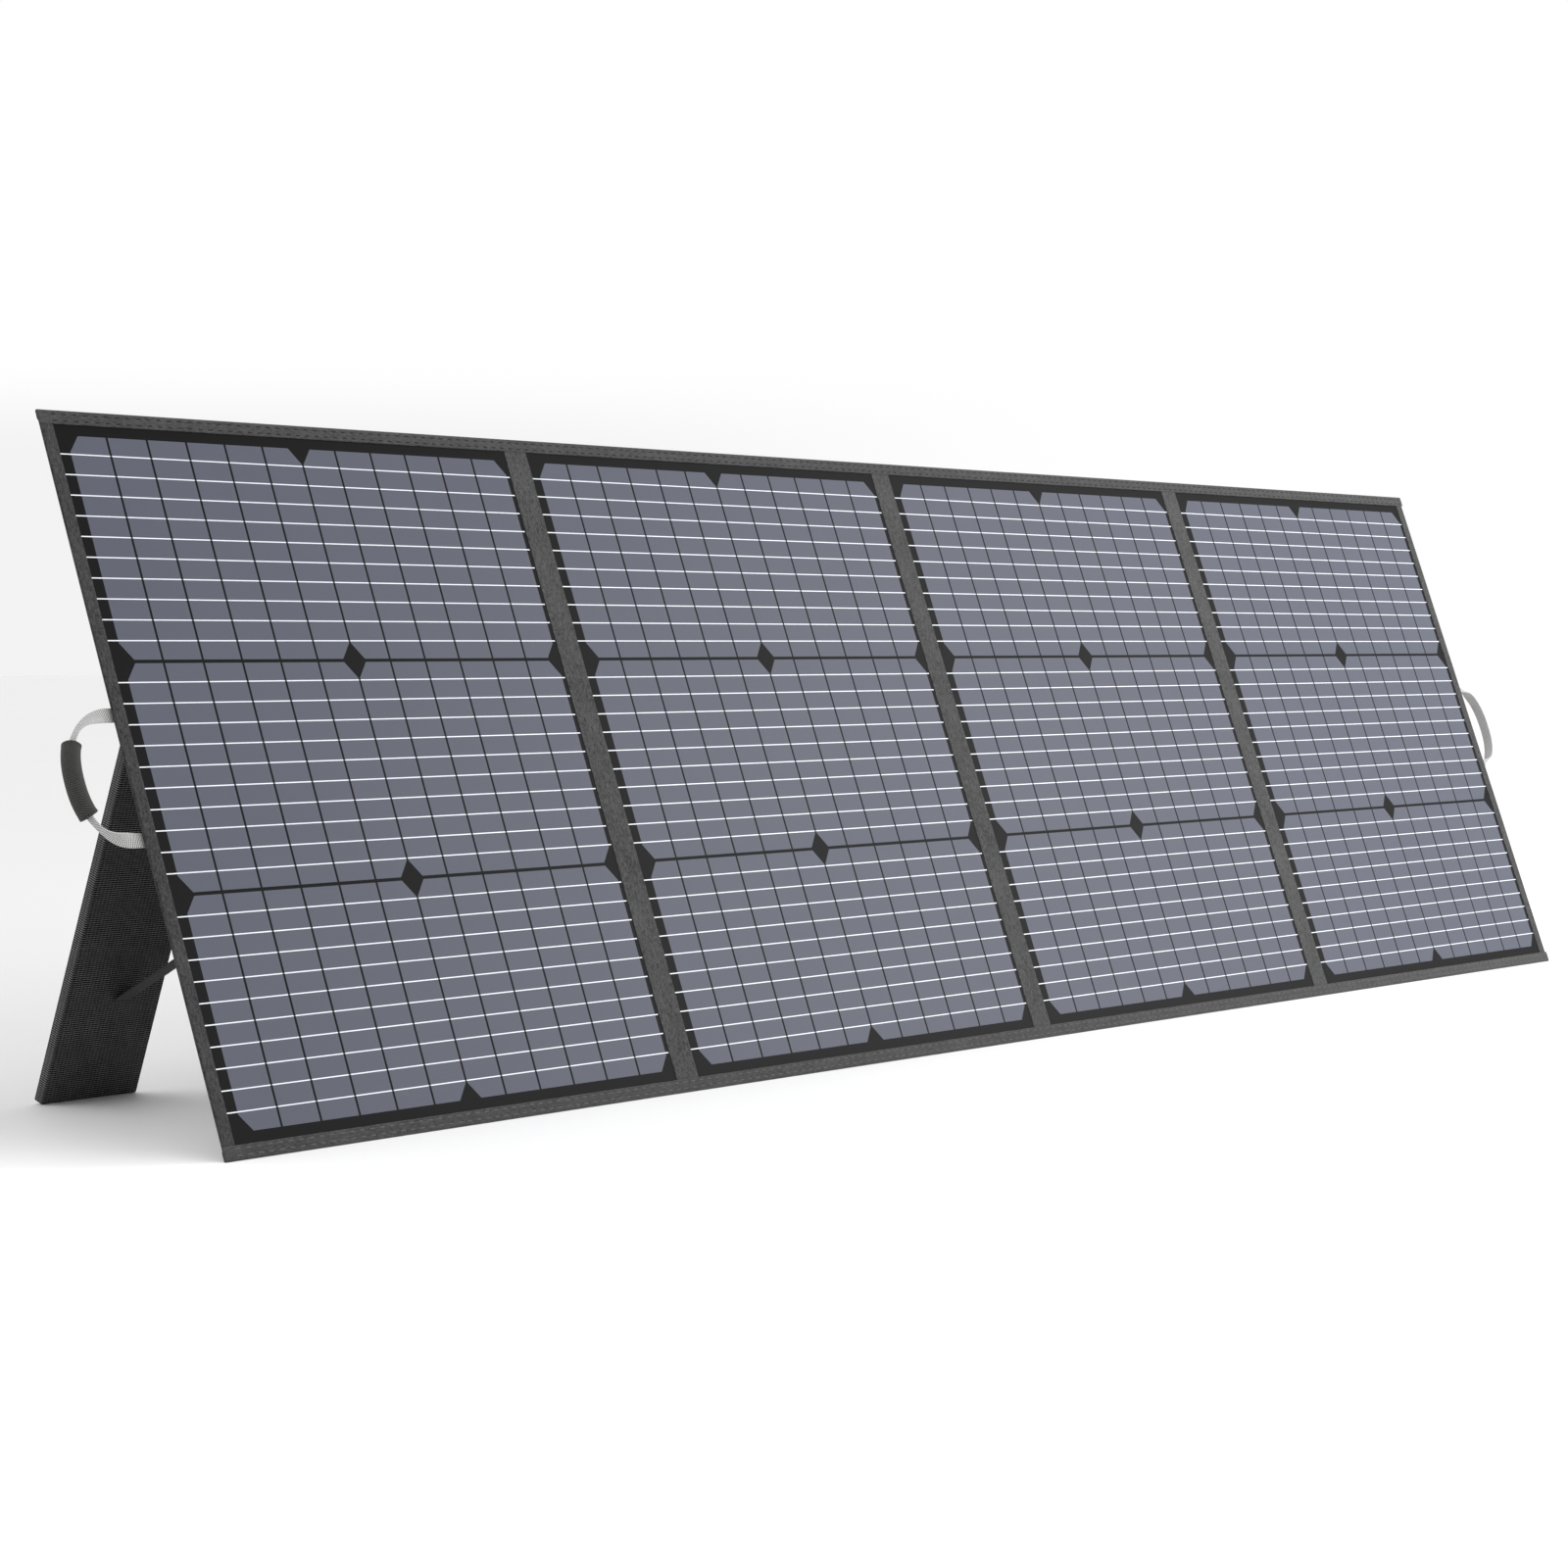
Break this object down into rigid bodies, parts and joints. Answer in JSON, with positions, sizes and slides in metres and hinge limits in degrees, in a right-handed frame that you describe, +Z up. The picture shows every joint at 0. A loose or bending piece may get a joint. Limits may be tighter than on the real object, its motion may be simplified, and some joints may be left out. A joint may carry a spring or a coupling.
{
  "type": "folding solar panel",
  "caption": "Portable solar panel with fabric-hinged leaves in a row, standing on fabric-covered folding legs, with webbing handles at both ends.",
  "frame": {"origin": "on the ground, in the middle of the object's box seen from above", "axes": "+X along the row of leaves, to the right seen from the front; +Y to the back, where the legs stand; +Z up"},
  "size_m": [2.2135, 0.3714, 0.5539],
  "materials": {
    "fabric": "matt heather weave",
    "leg_fabric": "coarse ribbed weave",
    "laminate": "satin",
    "cell": "satin under a clear film",
    "ribbon": "bright tinned",
    "board": "matt",
    "strap": "smooth tape",
    "webbing": "ribbed webbing",
    "grip": "smooth weave",
    "box_plastic": "fine texture",
    "socket": "satin"
  },
  "bodies": {
    "panel_1": {"front_border_1": "fabric", "ribbon_grid_1": "ribbon", "cell_1_a": "cell", "cell_1_b": "cell", "cell_1_c": "cell", "cell_1_d": "cell", "cell_1_e": "cell", "cell_1_f": "cell", "laminate_1": "laminate", "stiffener_board_1": "board", "back_cover_1": "fabric", "leg_1_hinge_strip": "leg_fabric", "leg_1_strap": "strap", "handle_1_anchor_patch": "fabric", "junction_box_base": "box_plastic", "junction_box_lid": "box_plastic", "output_socket": "socket"},
    "panel_2": {"front_border_2": "fabric", "ribbon_grid_2": "ribbon", "cell_2_a": "cell", "cell_2_b": "cell", "cell_2_c": "cell", "cell_2_d": "cell", "cell_2_e": "cell", "cell_2_f": "cell", "laminate_2": "laminate", "stiffener_board_2": "board", "back_cover_2": "fabric"},
    "panel_3": {"front_border_3": "fabric", "ribbon_grid_3": "ribbon", "cell_3_a": "cell", "cell_3_b": "cell", "cell_3_c": "cell", "cell_3_d": "cell", "cell_3_e": "cell", "cell_3_f": "cell", "laminate_3": "laminate", "stiffener_board_3": "board", "back_cover_3": "fabric"},
    "panel_4": {"front_border_4": "fabric", "ribbon_grid_4": "ribbon", "cell_4_a": "cell", "cell_4_b": "cell", "cell_4_c": "cell", "cell_4_d": "cell", "cell_4_e": "cell", "cell_4_f": "cell", "laminate_4": "laminate", "stiffener_board_4": "board", "back_cover_4": "fabric", "leg_4_hinge_strip": "leg_fabric", "leg_4_strap": "strap", "handle_4_anchor_patch": "fabric"},
    "leg_1": {"leg_1_cover": "leg_fabric", "leg_1_board": "board"},
    "handle_1": {"handle_1_webbing": "webbing", "handle_1_grip": "grip"},
    "leg_4": {"leg_4_cover": "leg_fabric", "leg_4_board": "board"},
    "handle_4": {"handle_4_webbing": "webbing"}
  },
  "joints": [
    {"name": "fold_12", "type": "hinge", "parent": "panel_2", "child": "panel_1", "pos_m": [-0.529, -0.08446, 0.27758], "axis": [0, 0.3448, 0.9387], "range_deg": [0, 179]},
    {"name": "fold_23", "type": "hinge", "parent": "panel_2", "child": "panel_3", "pos_m": [0, -0.07874, 0.27547], "axis": [0, 0.3448, 0.9387], "range_deg": [0, 179]},
    {"name": "fold_34", "type": "hinge", "parent": "panel_3", "child": "panel_4", "pos_m": [0.529, -0.08446, 0.27758], "axis": [0, -0.3448, -0.9387], "range_deg": [0, 179]},
    {"name": "leg_1_fold", "type": "hinge", "parent": "panel_1", "child": "leg_1", "pos_m": [-0.8742, -0.00269, 0.47872], "axis": [-1, 0, 0], "range_deg": [0, 40.4], "deforming": ["leg_1_strap"]},
    {"name": "leg_4_fold", "type": "hinge", "parent": "panel_4", "child": "leg_4", "pos_m": [0.8742, -0.00269, 0.47872], "axis": [-1, 0, 0], "range_deg": [0, 40.4], "deforming": ["leg_4_strap"]},
    {"name": "handle_1_swing", "type": "hinge", "parent": "panel_1", "child": "handle_1", "pos_m": [-1.0559, -0.0776, 0.2774], "axis": [0, -0.3448, -0.9387], "range_deg": [-75, 75]},
    {"name": "handle_4_swing", "type": "hinge", "parent": "panel_4", "child": "handle_4", "pos_m": [1.0576, -0.0776, 0.2774], "axis": [0, 0.3448, 0.9387], "range_deg": [-75, 75]}
  ],
  "couplings": [
    {"joint": "fold_23", "follows": "fold_12", "ratio": 1},
    {"joint": "fold_34", "follows": "fold_12", "ratio": 1}
  ]
}
